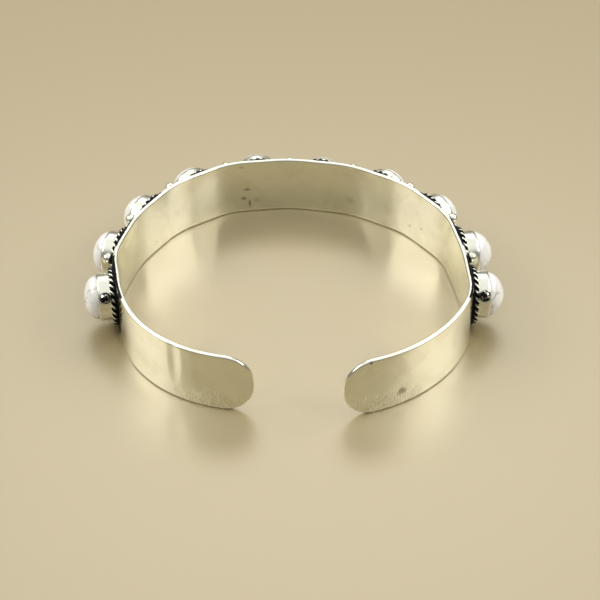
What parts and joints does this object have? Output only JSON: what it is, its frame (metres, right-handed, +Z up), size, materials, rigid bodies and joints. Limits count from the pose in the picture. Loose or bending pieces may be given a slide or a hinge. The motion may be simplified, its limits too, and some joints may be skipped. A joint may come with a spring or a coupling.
{
  "type": "cuff bangle with a row of round stones",
  "caption": "Open silver cuff bangle: a thin bent band carrying one row of round white cabochons in bezel cups ringed by twisted wire, with granules between them.",
  "frame": {"origin": "on the surface that the bangle lies on, under the middle of its plan's bounding box", "axes": "+Z up along the height of the band, +X to the right along the wider way across the wrist, -Y towards the open side between the two ends, +Y towards the middle of the row of stones"},
  "size_m": [0.075, 0.068, 0.0115],
  "materials": {
    "silver": "polished silver alloy, worn and finely scratched, with blackened recesses round the settings",
    "white_stone": "polished white howlite with thin grey veins"
  },
  "bodies": {
    "root": {"silver_cuff": "silver", "stone_01": "white_stone", "stone_02": "white_stone", "stone_03": "white_stone", "stone_04": "white_stone", "stone_05": "white_stone", "stone_06": "white_stone", "stone_07": "white_stone", "stone_08": "white_stone", "stone_09": "white_stone", "stone_10": "white_stone"}
  },
  "joints": []
}
